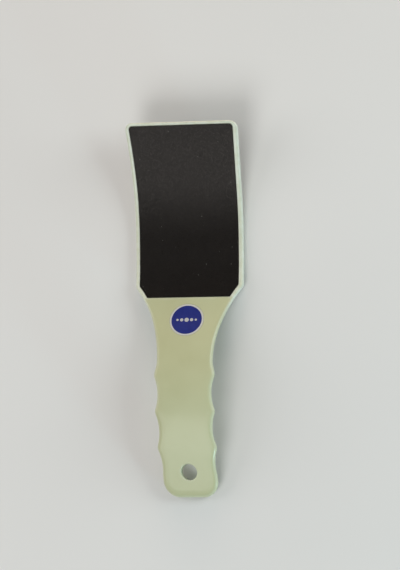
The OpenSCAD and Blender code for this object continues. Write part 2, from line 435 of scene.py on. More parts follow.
class Bench:
    """Blender's own tools, driven as by hand: select by place, then work on that."""

    @staticmethod
    def clear() -> None:
        """Leaves edit mode and deselects everything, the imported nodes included."""
        if bpy.context.object is not None and bpy.context.object.mode != "OBJECT":
            bpy.ops.object.mode_set(mode="OBJECT")
        bpy.ops.object.select_all(action="DESELECT")

    @classmethod
    def pick(cls, obj: bpy.types.Object) -> None:
        """Makes one object the selected and active one.

        Args:
            obj: The object.
        """
        cls.clear()
        obj.select_set(True)
        bpy.context.view_layer.objects.active = obj

    @staticmethod
    def added(name: str) -> bpy.types.Object:
        """Names the primitive that was just added.

        Args:
            name: The name for the object and its mesh.

        Returns:
            The object.
        """
        obj = bpy.context.object
        obj.name = name
        obj.data.name = name
        return obj

    @classmethod
    def grid(cls, name: str, places: np.ndarray) -> bpy.types.Object:
        """Adds a grid and lays its vertices out.

        Args:
            name: The piece's name.
            places: Rows by columns of points, the rows rising in Y and the columns in X.

        Returns:
            The new object.
        """
        rows, cols = places.shape[0] - 1, places.shape[1] - 1
        cls.clear()
        bpy.ops.mesh.primitive_grid_add(x_subdivisions=cols, y_subdivisions=rows, size=2)
        obj = cls.added(name)
        flat = cls.co(obj)
        col = np.rint((flat[:, 0] + 1) / 2 * cols).astype(int)
        row = np.rint((flat[:, 1] + 1) / 2 * rows).astype(int)
        cls.put(obj, places[row, col])
        return obj

    @staticmethod
    def read(items: bpy.types.bpy_prop_collection, what: str, width: int = 3,
             kind: type = float) -> np.ndarray:
        """Reads one value of every vertex, edge or face.

        Args:
            items: The vertices, edges or faces.
            what: The value's name.
            width: How many numbers it has.
            kind: Their type.

        Returns:
            A row for each.
        """
        out = np.empty(len(items) * width, kind)
        items.foreach_get(what, out)
        return out.reshape(-1, width)

    @classmethod
    def co(cls, obj: bpy.types.Object) -> np.ndarray:
        """The places of an object's vertices."""
        return cls.read(obj.data.vertices, "co")

    @staticmethod
    def put(obj: bpy.types.Object, places: np.ndarray) -> None:
        """Moves an object's vertices to the places given."""
        obj.data.vertices.foreach_set("co", np.ascontiguousarray(places, float).ravel())
        obj.data.update()

    @classmethod
    def faces(cls, obj: bpy.types.Object) -> tuple[np.ndarray, np.ndarray, np.ndarray]:
        """The middles, normals and material numbers of an object's faces.

        Args:
            obj: The object.

        Returns:
            The middles, the normals and the numbers.
        """
        polys = obj.data.polygons
        number = cls.read(polys, "material_index", width=1, kind=int)
        return cls.read(polys, "center"), cls.read(polys, "normal"), number[:, 0]

    @classmethod
    def edges(cls, obj: bpy.types.Object) -> np.ndarray:
        """The two vertex numbers of each edge."""
        return cls.read(obj.data.edges, "vertices", width=2, kind=int)

    @classmethod
    def select(cls, obj: bpy.types.Object, kind: str, mask: np.ndarray) -> None:
        """Selects vertices, edges or faces and stays in edit mode.

        Args:
            obj: The object.
            kind: VERT, EDGE or FACE.
            mask: Which ones to select.
        """
        cls.pick(obj)
        bpy.ops.object.mode_set(mode="EDIT")
        bpy.ops.mesh.select_mode(type=kind)
        bpy.ops.mesh.select_all(action="DESELECT")
        bpy.ops.object.mode_set(mode="OBJECT")
        data = {"VERT": obj.data.vertices, "EDGE": obj.data.edges, "FACE": obj.data.polygons}[kind]
        data.foreach_set("select", np.asarray(mask, bool))
        bpy.ops.object.mode_set(mode="EDIT")

    @staticmethod
    def done() -> None:
        """Goes back to object mode."""
        bpy.ops.object.mode_set(mode="OBJECT")

    @classmethod
    def bevel(cls, obj: bpy.types.Object, edges: np.ndarray, width: float, steps: int) -> None:
        """Rounds the edges in the mask.

        Args:
            obj: The object.
            edges: Which edges to round.
            width: How far in the rounding starts.
            steps: Its segments.
        """
        cls.select(obj, "EDGE", edges)
        bpy.ops.mesh.bevel(offset=width, segments=steps, affect="EDGES", clamp_overlap=True)
        cls.done()

    @classmethod
    def bevel_by_share(cls, obj: bpy.types.Object, shares: np.ndarray, width: float,
                       steps: int) -> None:
        """Rounds each edge by its own share of the width.

        Args:
            obj: The object.
            shares: A share from 0 to 1 for each edge.
            width: The width at a share of 1.
            steps: The rounding's segments.
        """
        cls.pick(obj)
        weight = obj.data.attributes.new("bevel_weight_edge", "FLOAT", "EDGE")
        weight.data.foreach_set("value", np.asarray(shares, float))
        bevel = obj.modifiers.new("round", "BEVEL")
        bevel.limit_method = "WEIGHT"
        bevel.width = width
        bevel.segments = steps
        bevel.use_clamp_overlap = True
        bpy.ops.object.modifier_apply(modifier=bevel.name)

    @classmethod
    def push(cls, obj: bpy.types.Object, faces: np.ndarray, along: Triple) -> None:
        """Extrudes the faces in the mask and moves them.

        Args:
            obj: The object.
            faces: Which faces to push.
            along: Which way and how far.
        """
        cls.select(obj, "FACE", faces)
        bpy.ops.mesh.extrude_region_move(TRANSFORM_OT_translate={"value": along})
        cls.done()

    @classmethod
    def thicken(cls, obj: bpy.types.Object, thickness: float) -> None:
        """Gives a flat sheet a thickness, half to each side.

        Args:
            obj: The sheet.
            thickness: Its whole thickness.
        """
        cls.pick(obj)
        solid = obj.modifiers.new("thickness", "SOLIDIFY")
        solid.thickness = thickness
        solid.offset = 0.0
        bpy.ops.object.modifier_apply(modifier=solid.name)

    @classmethod
    def border(cls, obj: bpy.types.Object, inside: np.ndarray) -> np.ndarray:
        """Edges between the faces in the mask and those outside it.

        Args:
            obj: The object.
            inside: Which faces count as inside.

        Returns:
            Which edges lie between.
        """
        sides: dict[tuple[int, int], set[bool]] = {}
        for poly in obj.data.polygons:
            for key in poly.edge_keys:
                sides.setdefault(key, set()).add(bool(inside[poly.index]))
        pairs = np.sort(cls.edges(obj), axis=1)
        return np.array([len(sides.get((a, b), ())) == 2 for a, b in pairs.tolist()])

    @classmethod
    def finish(cls, obj: bpy.types.Object, smooth_to: float = 32.0) -> None:
        """Shades a finished piece smooth up to an angle in degrees.

        Args:
            obj: The piece.
            smooth_to: The sharpest angle to smooth.
        """
        cls.pick(obj)
        bpy.ops.object.shade_smooth_by_angle(angle=math.radians(smooth_to))
        cls.clear()


class Val:
    """A shader socket that works in Python sums."""

    def __init__(self, graph: "Graph", socket: bpy.types.NodeSocket) -> None:
        """Keeps the socket and the material it belongs to."""
        self.graph = graph
        self.socket = socket

    def _sum(self, operation: str, first: "Val | float", second: "Val | float") -> "Val":
        """Adds one Math node."""
        node = self.graph.node("ShaderNodeMath", {"operation": operation}, {0: first, 1: second})
        return Val(self.graph, node.outputs[0])

    def __add__(self, other: "Val | float") -> "Val":
        """This plus the other."""
        return self._sum("ADD", self, other)

    def __radd__(self, other: float) -> "Val":
        """The number plus this."""
        return self._sum("ADD", other, self)

    def __sub__(self, other: "Val | float") -> "Val":
        """This less the other."""
        return self._sum("SUBTRACT", self, other)

    def __rsub__(self, other: float) -> "Val":
        """The number less this."""
        return self._sum("SUBTRACT", other, self)

    def __mul__(self, other: "Val | float") -> "Val":
        """This times the other."""
        return self._sum("MULTIPLY", self, other)

    def __rmul__(self, other: float) -> "Val":
        """The number times this."""
        return self._sum("MULTIPLY", other, self)

    def __truediv__(self, other: "Val | float") -> "Val":
        """This over the other."""
        return self._sum("DIVIDE", self, other)

    def __rtruediv__(self, other: float) -> "Val":
        """The number over this."""
        return self._sum("DIVIDE", other, self)

    def root(self) -> "Val":
        """The square root of this."""
        return self._sum("SQRT", self, 0.0)

    def wave(self) -> "Val":
        """The sine of this."""
        return self._sum("SINE", self, 0.0)

    def high(self, other: "Val | float") -> "Val":
        """The higher of the two."""
        return self._sum("MAXIMUM", self, other)

    def ramp(self, start: float = 0.3, stop: float = 0.7, low: float = 0.0,
             high: float = 1.0) -> "Val":
        """A smooth step from low at start to high at stop.

        Args:
            start: Where the step begins.
            stop: Where it ends.
            low: The value at start.
            high: The value at stop.

        Returns:
            The step.
        """
        node = self.graph.node("ShaderNodeMapRange", {"interpolation_type": "SMOOTHSTEP"},
                               {"Value": self, "From Min": start, "From Max": stop,
                                "To Min": low, "To Max": high})
        return Val(self.graph, node.outputs[0])


class Graph:
    """The nodes of one material."""

    def __init__(self, name: str) -> None:
        """Starts an empty material of that name.

        Args:
            name: The material's name.
        """
        self.material = bpy.data.materials.new(name)
        self.material.use_nodes = True
        self.tree = self.material.node_tree
        self.tree.nodes.clear()

    def node(self, kind: str, settings: dict | None = None,
             inputs: dict | None = None) -> bpy.types.Node:
        """Adds a node.

        Args:
            kind: The node's type.
            settings: Its own settings, set first.
            inputs: A value or a Val for each socket, by name or number.

        Returns:
            The node.
        """
        new = self.tree.nodes.new(kind)
        for name, value in (settings or {}).items():
            setattr(new, name, value)
        for name, value in (inputs or {}).items():
            if isinstance(value, Val):
                self.tree.links.new(value.socket, new.inputs[name])
            else:
                new.inputs[name].default_value = value
        return new

    def place(self) -> Val:
        """The point on the piece in its own frame, which is the part's."""
        return Val(self, self.node("ShaderNodeTexCoord").outputs["Object"])

    def split(self, vector: Val) -> tuple[Val, Val]:
        """The parts of a vector along X and along Y."""
        node = self.node("ShaderNodeSeparateXYZ", None, {0: vector})
        return Val(self, node.outputs[0]), Val(self, node.outputs[1])

    def scaled(self, vector: Val, scale: Triple) -> Val:
        """The vector scaled along each axis."""
        return self.vector_sum("MULTIPLY", vector, scale)

    def noise(self, vector: Val, scale: float, detail: float = 2.0, rough: float = 0.5) -> Val:
        """Noise from 0 to 1, its middle at 0.5.

        Args:
            vector: The point on the piece.
            scale: How many waves a metre has.
            detail: How many finer layers there are.
            rough: How much the finer ones weigh.

        Returns:
            The noise.
        """
        node = self.node("ShaderNodeTexNoise", {"noise_dimensions": "3D"},
                         {"Vector": vector, "Scale": scale, "Detail": detail, "Roughness": rough})
        return Val(self, node.outputs[0])

    def vector_sum(self, operation: str, first: "Val | tuple", second: "Val | tuple") -> Val:
        """One Vector Math node's first output that the operation fills."""
        node = self.node("ShaderNodeVectorMath", {"operation": operation}, {0: first, 1: second})
        return Val(self, node.outputs["Value" if operation == "DOT_PRODUCT" else "Vector"])

    def grains(self, vector: Val, size: float, steepness: float = 1.6) -> tuple[Val, Val]:
        """Broken grains, each with one flat facet that leans its own way.

        Args:
            vector: The point on the piece.
            size: The grains' size in metres.
            steepness: How much the facets lean.

        Returns:
            The facets' height from about -0.5 to 1.5, and a number of each grain's own.
        """
        node = self.node("ShaderNodeTexVoronoi", {"feature": "F1"},
                         {"Vector": vector, "Scale": 1 / size})
        middle = Val(self, node.outputs["Position"])
        white = self.node("ShaderNodeTexWhiteNoise", {"noise_dimensions": "3D"},
                          {"Vector": middle})
        own = Val(self, white.outputs["Value"])
        lean = self.vector_sum("SUBTRACT", Val(self, white.outputs["Color"]), (0.5, 0.5, 0.5))
        off = self.vector_sum("SUBTRACT", vector, middle)
        return own + self.vector_sum("DOT_PRODUCT", off, lean) * (steepness / size), own

    def attribute(self, name: str) -> Val:
        """A number kept on the piece's vertices."""
        return Val(self, self.node("ShaderNodeAttribute", {"attribute_name": name}).outputs["Fac"])

    def blend(self, share: "Val | float", first: "Val | tuple", second: "Val | tuple") -> Val:
        """Mixes two colours by a share."""
        node = self.node("ShaderNodeMix", {"data_type": "RGBA"},
                         {0: share, FIRST_IN: first, SECOND_IN: second})
        return Val(self, node.outputs[MIX_OUT])

    def bump(self, height: Val, strength: float, depth: float, under: Val | None = None) -> Val:
        """A bump from a height, over another bump where one is given.

        Args:
            height: The height.
            strength: How much of it shows.
            depth: What a height of 1 is, in metres.
            under: The bump below it.

        Returns:
            The bumped normal.
        """
        inputs: dict = {"Height": height, "Strength": strength, "Distance": depth}
        if under is not None:
            inputs["Normal"] = under
        return Val(self, self.node("ShaderNodeBump", None, inputs).outputs[0])

    def surface(self, **sockets: "Val | float | tuple") -> bpy.types.Material:
        """Ends the material in one Principled shader.

        Args:
            **sockets: Values or links, with _ for each space in a socket's name.

        Returns:
            The finished material.
        """
        inputs = {name.replace("_", " "): value for name, value in sockets.items()}
        shader = self.node("ShaderNodeBsdfPrincipled", None, inputs)
        out = self.node("ShaderNodeOutputMaterial")
        self.tree.links.new(shader.outputs[0], out.inputs["Surface"])
        return self.material


def tone(red: float, green: float, blue: float) -> Colour:
    """The linear colour of a screen colour from 0 to 255.

    Args:
        red: The screen's red.
        green: Its green.
        blue: Its blue.

    Returns:
        The linear colour, with an alpha of 1.
    """
    def linear(value: float) -> float:
        """One channel, made linear by the screen's own curve."""
        share = value / 255
        return share / 12.92 if share <= 0.04045 else ((share + 0.055) / 1.055) ** 2.4
    return linear(red), linear(green), linear(blue), 1.0


@dataclass(frozen=True)
class SatinPlastic:
    """Pale green moulded plastic, with a satin skin and a painted highlight along its edges."""

    base: Colour = tone(177, 179, 140)
    pale: Colour = tone(183, 186, 148)
    # Painted highlight and reflection: a pale cool colour laid on the edges and rims as if lit
    edge_highlight: Colour = tone(221, 226, 217)
    highlight_share: float = 0.85
    roughness: float = 0.41
    pit_rough: float = 0.12
    scratch_rough: float = 0.08
    edge_polish: float = 0.05
    flow_stretch: Triple = (1.0, 0.25, 1.0)
    scratch_stretch: Triple = (1.0, 0.06, 0.06)
    skin_depth: float = 0.00004
    pit_depth: float = 0.00012

    def make(self) -> bpy.types.Material:
        """The blade's material; its edge attribute runs from 0 inside to 1 at an edge, where it
        paints a highlight.

        Returns:
            The material.
        """
        g = Graph("blade_plastic")
        at = g.place()
        cloud = g.noise(at, scale=28.0, detail=3.0)
        flow = g.noise(g.scaled(at, self.flow_stretch), scale=120.0)
        skin = g.noise(at, scale=2600.0)
        pits = g.noise(at, scale=700.0, detail=3.0, rough=0.6)
        edge = g.attribute("edge")
        # Painted highlight on the edges and rims, broken up by noise, in step with the edge
        # attribute
        edge_light = edge * g.noise(at, scale=260.0, detail=3.0).ramp(low=0.7)
        colour = g.blend(cloud.ramp(), self.base, self.pale)
        colour = g.blend(flow.ramp(start=0.55, stop=0.8, high=0.25), colour, self.pale)
        colour = g.blend(edge_light * self.highlight_share, colour, self.edge_highlight)
        along = g.scaled(at, self.scratch_stretch)
        scratch = g.noise(along, scale=900.0, detail=1.0).ramp(start=0.66, stop=0.72)
        rough = self.roughness + (pits - 0.5) * self.pit_rough
        rough = rough + scratch * self.scratch_rough - edge * self.edge_polish
        bump = g.bump(skin, strength=0.12, depth=self.skin_depth)
        bump = g.bump(pits, strength=0.10, depth=self.pit_depth, under=bump)
        return g.surface(Base_Color=colour, Roughness=rough, Normal=bump, IOR=1.49,
                         Specular_IOR_Level=0.32, Coat_Weight=0.2, Coat_Roughness=0.16)


@dataclass(frozen=True)
class AdhesiveFilm:
    """A thin clear yellowish film."""

    base: Colour = tone(216, 207, 168)
    thick: Colour = tone(192, 180, 138)
    roughness: float = 0.3
    lump_rough: float = 0.2
    lump_depth: float = 0.00005

    def make(self) -> bpy.types.Material:
        """The material of the films under the sheets and the label.

        Returns:
            The material.
        """
        g = Graph("adhesive")
        lumps = g.noise(g.place(), scale=900.0)
        return g.surface(Base_Color=g.blend(lumps.ramp(), self.base, self.thick),
                         Roughness=self.roughness + lumps * self.lump_rough,
                         Normal=g.bump(lumps, strength=0.2, depth=self.lump_depth))


@dataclass(frozen=True)
class ClothBacking:
    """Resin-filled cotton cloth, seen at the sheets' cut edges."""

    base: Colour = tone(92, 76, 58)
    dark: Colour = tone(62, 50, 39)
    thread_turn: float = 9000.0
    weave_share: float = 0.6
    fibre_share: float = 0.4
    roughness: float = 0.8
    fibre_rough: float = 0.15
    weave_depth: float = 0.00008

    def make(self) -> bpy.types.Material:
        """The backing's material, with its threads across and along.

        Returns:
            The material.
        """
        g = Graph("sheet_backing")
        at = g.place()
        x, y = g.split(at)
        weave = (x * self.thread_turn).wave() * (y * self.thread_turn).wave() * 0.5 + 0.5
        fibre = g.noise(at, scale=4000.0)
        mix = weave * self.weave_share + fibre * self.fibre_share
        return g.surface(Base_Color=g.blend(mix, self.dark, self.base),
                         Roughness=self.roughness + fibre * self.fibre_rough,
                         Normal=g.bump(weave, strength=0.4, depth=self.weave_depth))


@dataclass(frozen=True)
class GritCoat:
    """Sharp mineral grains held in dark resin, their size in metres."""

    name: str
    dark: Colour
    light: Colour
    grain: float
    glints: float
    roughness: float
    gloss: float = 0.23
    glint: Colour = tone(150, 148, 142)
    sheen: Colour = (1.0, 0.93, 0.88, 1.0)
    fine_ratio: float = 2.3
    fine_height: float = 0.4
    grain_height: float = 0.4
    own_share: float = 0.36
    fine_share: float = 0.16
    clump_share: float = 0.38
    patch_share: float = 0.1
    glint_cover: float = 0.6
    glint_polish: float = 0.2
    grain_rough: float = 0.16
    clump_rough: float = 0.06

    def make(self) -> bpy.types.Material:
        """The coat's material, each grain with a tone, a tilt and a gloss of its own.

        Returns:
            The material.
        """
        g = Graph(self.name)
        at = g.place()
        coarse, own = g.grains(at, self.grain)
        fine, fine_own = g.grains(at, self.grain / self.fine_ratio)
        clump = g.noise(at, scale=660.0).ramp(start=0.38, stop=0.62)
        patch = g.noise(at, scale=60.0, detail=3.0).ramp()
        spark = own.ramp(start=1 - self.glints, stop=1.0)
        mix = own * self.own_share + fine_own * self.fine_share
        mix = mix + clump * self.clump_share + patch * self.patch_share
        colour = g.blend(mix, self.dark, self.light)
        colour = g.blend(spark * self.glint_cover, colour, self.glint)
        rough = self.roughness - spark * self.glint_polish
        rough = rough + (fine_own - 0.5) * self.grain_rough + (0.5 - clump) * self.clump_rough
        bump = g.bump(coarse + fine * self.fine_height, strength=0.27,
                      depth=self.grain * self.grain_height)
        return g.surface(Base_Color=colour, Roughness=rough, Normal=bump,
                         Specular_IOR_Level=self.gloss, Specular_Tint=self.sheen)


@dataclass(frozen=True)
class PrintedFilm:
    """The round label's print: navy, with a pale ring and a plain band of dots."""

    centre_y: float
    slope: float
    ink: Colour = tone(26, 38, 110)
    pale_ink: Colour = tone(29, 42, 116)
    ring: Colour = tone(190, 190, 184)
    disc_r: float = 10.6
    dots_each_side: int = 2
    dot_r: float = 1.5
    dot_shrink: float = 0.35
    dot_pitch: float = 3.7
    pitch_shrink: float = 0.25
    dot_cover: float = 0.85
    print_edge: float = 0.08
    roughness: float = 0.34
    screen_rough: float = 0.1
    cloud_rough: float = 0.06
    screen_depth: float = 0.00003

    def make(self) -> bpy.types.Material:
        """The label's material, drawn round the label's middle.

        Returns:
            The material.
        """
        g = Graph("label_print")
        at = g.place()
        x, y = g.split(at)
        across = x / MM
        up = (y - self.centre_y * MM) / (MM * math.cos(self.slope))
        far = (across * across + up * up).root()
        ring = far.ramp(self.disc_r - self.print_edge, self.disc_r + self.print_edge)
        dots: Val | float = 0.0
        for k in range(-self.dots_each_side, self.dots_each_side + 1):
            size = self.dot_r - self.dot_shrink * abs(k)
            off = across - k * (self.dot_pitch - self.pitch_shrink * abs(k))
            dot = (off * off + up * up).root()
            dots = dot.ramp(size + self.print_edge, size - self.print_edge).high(dots)
        cloud = g.noise(at, scale=300.0)
        ink = g.blend(cloud.ramp(), self.ink, self.pale_ink)
        screen = g.noise(at, scale=5000.0, detail=1.0)
        rough = self.roughness + screen * self.screen_rough + cloud * self.cloud_rough
        return g.surface(Base_Color=g.blend(ring.high(dots * self.dot_cover), ink, self.ring),
                         Roughness=rough, Specular_IOR_Level=0.25,
                         Normal=g.bump(screen, strength=0.05, depth=self.screen_depth))


@dataclass(frozen=True)
class PaleFloor:
    """A plain pale table top."""

    base: Colour = tone(217, 217, 214)
    shade: Colour = tone(214, 214, 211)

    def make(self) -> bpy.types.Material:
        """The floor's material.

        Returns:
            The material.
        """
        g = Graph("floor")
        cloud = g.noise(g.place(), scale=3.0)
        return g.surface(Base_Color=g.blend(cloud.ramp(), self.base, self.shade),
                         Roughness=0.9, Specular_IOR_Level=0.1)


@dataclass
class Blade:
    """The one moulding: head, neck and grip, with two recesses, a pocket and a hole.

    Its lengths are in millimetres.
    """

    line: MiddleLine
    outline: Outline
    rim_w: float = 2.75
    sheet_reach: float = 7.1
    recess_depth: float = 1.0
    head_round: float = 1.3
    grip_round: float = 2.45
    round_to: float = -48.0
    round_steps: int = 8
    # How wide and how strong the painted highlight is at the edges, the hole, the rims and under
    # the sheets
    highlight_w: float = 1.9
    hole_highlight_falloff: float = 1.6
    recess_highlight_falloff: float = 1.3
    grip_highlight: float = 0.3
    rim_highlight: float = 0.7
    rim_lead: float = 0.5
    rim_slack: float = 0.05
    tone_lead: float = 1.0
    below_w: float = 1.2
    below_highlight: float = 0.3
    recess_edge: float = 0.2
    recess_steps: int = 2
    crown_w: float = 5.2
    crown_flat: float = 1.0
    crown_fade: float = 2.0
    crown_drop: float = 0.12
    hole_d: float = 11.0
    hole_from_end: float = 17.5
    hole_edge: float = 0.55
    hole_steps: int = 3
    hole_land: float = 0.3
    label_hole_d: float = 23.9
    label_from_sheet: float = 15.4
    pocket_depth: float = 0.25
    cols: int = 40
    row_step: float = 1.5
    row_gap: float = 0.3
    grip_step: float = 0.7
    shoulder_step: float = 0.4
    shoulder_zone: float = 2.5
    end_steps: int = 10
    tip_steps: int = 6
    side_skip: int = 4
    hole_cells: int = 8
    label_cells: int = 10
    hole_row: float = 0.8
    label_row: float = 1.09
    blend_cells: int = 3
    finish: SatinPlastic = field(default_factory=SatinPlastic)

    def sheet_end(self) -> float:
        """The place along Y of the recesses' lower edge.

        Returns:
            The place.
        """
        out = self.outline
        neck_y = out.crest_places()[0][1] + out.neck_to_crest
        across = out.neck_w / 2 + out.shoulder_r - out.head_w / 2
        return neck_y + math.sqrt(out.shoulder_r ** 2 - across ** 2) - self.sheet_reach

    def label_y(self) -> float:
        """The place along Y of the label's middle."""
        return self.sheet_end() - self.label_from_sheet

    def hole_y(self) -> float:
        """The place along Y of the hanging hole's middle."""
        return self.line.ends()[0] + self.hole_from_end

    def _rows(self) -> np.ndarray:
        """Places along Y of the flat grid's rows, rising.

        Returns:
            The places.
        """
        low = self.outline.corner_ys(self.rim_w, self.end_steps)[0]
        high = self.outline.corner_ys(self.rim_w, self.tip_steps)[1]
        hole, label, top = self.hole_y(), self.label_y(), self.sheet_end()
        hole_cells = self.hole_cells + self.blend_cells
        label_cells = self.label_cells + self.blend_cells
        hole_half, label_half = hole_cells * self.hole_row, label_cells * self.label_row

        def fill(start: float, stop: float, step: float) -> np.ndarray:
            """Even rows between two places, without its last.

            Args:
                start: The first row's place.
                stop: Where the next rows begin.
                step: The widest gap.

            Returns:
                The rows' places.
            """
            count = max(1, math.ceil((stop - start) / step))
            return np.linspace(start, stop, count + 1)[:-1]

        bend = top + self.sheet_reach
        return np.concatenate([
            low[low < hole - hole_half - self.row_gap],
            hole + np.arange(-hole_cells, hole_cells) * self.hole_row,
            fill(hole + hole_half, label - label_half, self.grip_step),
            label + np.arange(-label_cells, label_cells) * self.label_row,
            fill(label + label_half, top, self.row_step),
            fill(top, bend - self.shoulder_zone, self.row_step),
            fill(bend - self.shoulder_zone, bend + self.shoulder_zone, self.shoulder_step),
            fill(bend + self.shoulder_zone, high[0], self.row_step), high])

    def _round(self, flat: np.ndarray, ys: np.ndarray, middle: float, cells: int,
               half_x: float, half_y: float) -> None:
        """Rounds the square rings of cells about a place, so that one ring is an ellipse.

        Args:
            flat: The grid's points, rows by columns, changed here.
            ys: The rows' places along Y.
            middle: The ellipse's place along Y.
            cells: How many cells out the ellipse's ring is.
            half_x: The ellipse's half width.
            half_y: Its half height.
        """
        row0, col0 = int(np.argmin(abs(ys - middle))), self.cols // 2
        reach = cells + self.blend_cells
        for dr in range(-reach, reach + 1):
            for dc in range(-reach, reach + 1):
                ring = max(abs(dr), abs(dc))
                if ring == 0:
                    flat[row0, col0, :2] = (0.0, middle)
                    continue
                if abs(dc) == ring:
                    turn = EIGHTH * dr / ring if dc > 0 else math.pi - EIGHTH * dr / ring
                else:
                    turn = math.copysign(2 - dc / ring, dr) * EIGHTH
                size = ring / cells
                past = max(0, ring - cells)
                share = 1 - past / (self.blend_cells + 1)
                x = half_x * size * math.cos(turn)
                y = middle + half_y * size * math.sin(turn)
                old = flat[row0 + dr, col0 + dc]
                old[0] += (x - old[0]) * share
                old[1] += (y - old[1]) * share

    def build(self) -> bpy.types.Object:
        """Models the blade flat with Blender's tools, then lifts it onto its middle line.

        Returns:
            The blade.
        """
        ys = self._rows()
        side = self.outline.rows_at(self.rim_w, ys)
        span = np.linspace(-1, 1, self.cols + 1)
        flat = np.zeros((len(ys), self.cols + 1, 3))
        flat[:, :, 0] = side[:, 0:1] * span
        flat[:, :, 1] = ys[:, None]
        slope = self.line.heading(self.label_y())
        hole_r, pocket_r = self.hole_d / 2, self.label_hole_d / 2
        self._round(flat, ys, self.hole_y(), self.hole_cells, hole_r, hole_r)
        self._round(flat, ys, self.label_y(), self.label_cells, pocket_r,
                    pocket_r * math.cos(slope))
        piece = Bench.grid("file_blade", flat)
        self._mark(piece)
        self._grow_rim(piece, side, ys)
        Bench.thicken(piece, self.line.body_t)
        self._pierce(piece)
        self._soften(piece)
        self._sink(piece)
        self._edge_highlight_share(piece)
        self._crown(piece)
        Bench.put(piece, self.line.lift(Bench.co(piece)))
        piece.data.polygons.foreach_set("material_index", np.zeros(len(piece.data.polygons), int))
        Bench.finish(piece)
        return piece

    def _mark(self, piece: bpy.types.Object) -> None:
        """Notes on each flat face what it is going to be.

        Args:
            piece: The flat grid.
        """
        for _ in Part:
            piece.data.materials.append(None)
        mid, _, _ = Bench.faces(piece)
        number = np.full(len(mid), Part.SKIN.value)
        number[mid[:, 1] > self.sheet_end()] = Part.RECESS.value
        number[self._off_hole(mid) < 0] = Part.HOLE.value
        slope = self.line.heading(self.label_y())
        up = (mid[:, 1] - self.label_y()) / math.cos(slope)
        number[mid[:, 0] ** 2 + up ** 2 < (self.label_hole_d / 2) ** 2] = Part.POCKET.value
        piece.data.polygons.foreach_set("material_index", number)

    def _grow_rim(self, piece: bpy.types.Object, side: np.ndarray, ys: np.ndarray) -> None:
        """Extrudes the grid's border out to the blade's outline.

        Args:
            piece: The flat grid.
            side: The rows' half widths and normals.
            ys: The rows' places along Y.
        """
        before = Bench.co(piece)
        pairs = [tuple(pair) for pair in np.sort(Bench.edges(piece), axis=1).tolist()]
        uses = Counter(key for poly in piece.data.polygons for key in poly.edge_keys)
        Bench.select(piece, "EDGE", np.array([uses[pair] == 1 for pair in pairs]))
        bpy.ops.mesh.extrude_edges_move(TRANSFORM_OT_translate={"value": (0, 0, 0)})
        Bench.done()
        places = Bench.co(piece)
        for k in range(len(before), len(places)):
            x, y = places[k, 0], places[k, 1]
            row = int(np.argmin(abs(ys - y)))
            if row in (0, len(ys) - 1):
                normal = (0.0, -1.0 if row == 0 else 1.0)
            else:
                normal = (math.copysign(side[row, 2], x), side[row, 3])
            places[k, 0] += self.rim_w * normal[0]
            places[k, 1] += self.rim_w * normal[1]
        places[:len(before), 1] = self.outline.to_tip(places[:len(before), 1])
        Bench.put(piece, places)
        _, _, number = Bench.faces(piece)
        inner = np.array([max(p.vertices) < len(before) for p in piece.data.polygons])
        number[~inner] = Part.SKIN.value
        piece.data.polygons.foreach_set("material_index", number)

    def _pierce(self, piece: bpy.types.Object) -> None:
        """Opens the hanging hole and walls it.

        Args:
            piece: The flat blade.
        """
        _, normal, number = Bench.faces(piece)
        flat = abs(normal[:, 2]) > UPRIGHT
        Bench.select(piece, "FACE", (number == Part.HOLE.value) & flat)
        bpy.ops.mesh.delete(type="FACE")
        Bench.done()
        places, edges = Bench.co(piece), Bench.edges(piece)
        on = abs(self._off_hole(places)) < CLOSE
        level = abs(places[edges[:, 0], 2] - places[edges[:, 1], 2]) < CLOSE
        Bench.select(piece, "EDGE", on[edges].all(axis=1) & level)
        bpy.ops.mesh.bridge_edge_loops()
        Bench.done()

    def _rims(self, piece: bpy.types.Object) -> tuple[np.ndarray, np.ndarray]:
        """The edges that bound the two faces, and the middle of every edge.

        Args:
            piece: The flat blade.

        Returns:
            A mask of the edges, and the middles.
        """
        _, normal, _ = Bench.faces(piece)
        mid = Bench.co(piece)[Bench.edges(piece)].mean(axis=1)
        at_face = abs(abs(mid[:, 2]) - self.line.half_t()) < CLOSE
        return Bench.border(piece, abs(normal[:, 2]) > UPRIGHT) & at_face, mid

    def _off_hole(self, places: np.ndarray) -> np.ndarray:
        """How far outside the hanging hole's wall flat points lie."""
        return np.hypot(places[:, 0], places[:, 1] - self.hole_y()) - self.hole_d / 2

    def _soften(self, piece: bpy.types.Object) -> None:
        """Rounds the hole's rims, and then the blade's edges, the grip's the most.

        Args:
            piece: The flat blade.
        """
        rim, mid = self._rims(piece)
        at_hole = self._off_hole(mid) < self.hole_land
        Bench.bevel(piece, rim & at_hole, self.hole_edge, self.hole_steps)
        rim, mid = self._rims(piece)
        share = np.interp(mid[:, 1], [self.round_to, self.sheet_end()],
                          [1.0, self.head_round / self.grip_round])
        share[~rim | (self._off_hole(mid) < self.hole_land)] = 0.0
        Bench.bevel_by_share(piece, share, self.grip_round, self.round_steps)

    def _sink(self, piece: bpy.types.Object) -> None:
        """Sinks the two recesses and the label's pocket, and eases the recesses' edges.

        Args:
            piece: The flat blade.
        """
        hollows = [(Part.RECESS, face.value, self.recess_depth) for face in Face]
        hollows.append((Part.POCKET, Face.FRONT.value, self.pocket_depth))
        for part, side, depth in hollows:
            _, normal, number = Bench.faces(piece)
            here = (number == part.value) & (normal[:, 2] * side > UPRIGHT)
            Bench.push(piece, here, (0, 0, -depth * side))
        rim, mid = self._rims(piece)
        inner = self._from_edge(mid) > (self.head_round + self.outline.tip_rim) / 2
        recess = (mid[:, 1] > self.sheet_end() - self.recess_edge / 2) & inner
        Bench.bevel(piece, rim & recess, self.recess_edge, self.recess_steps)

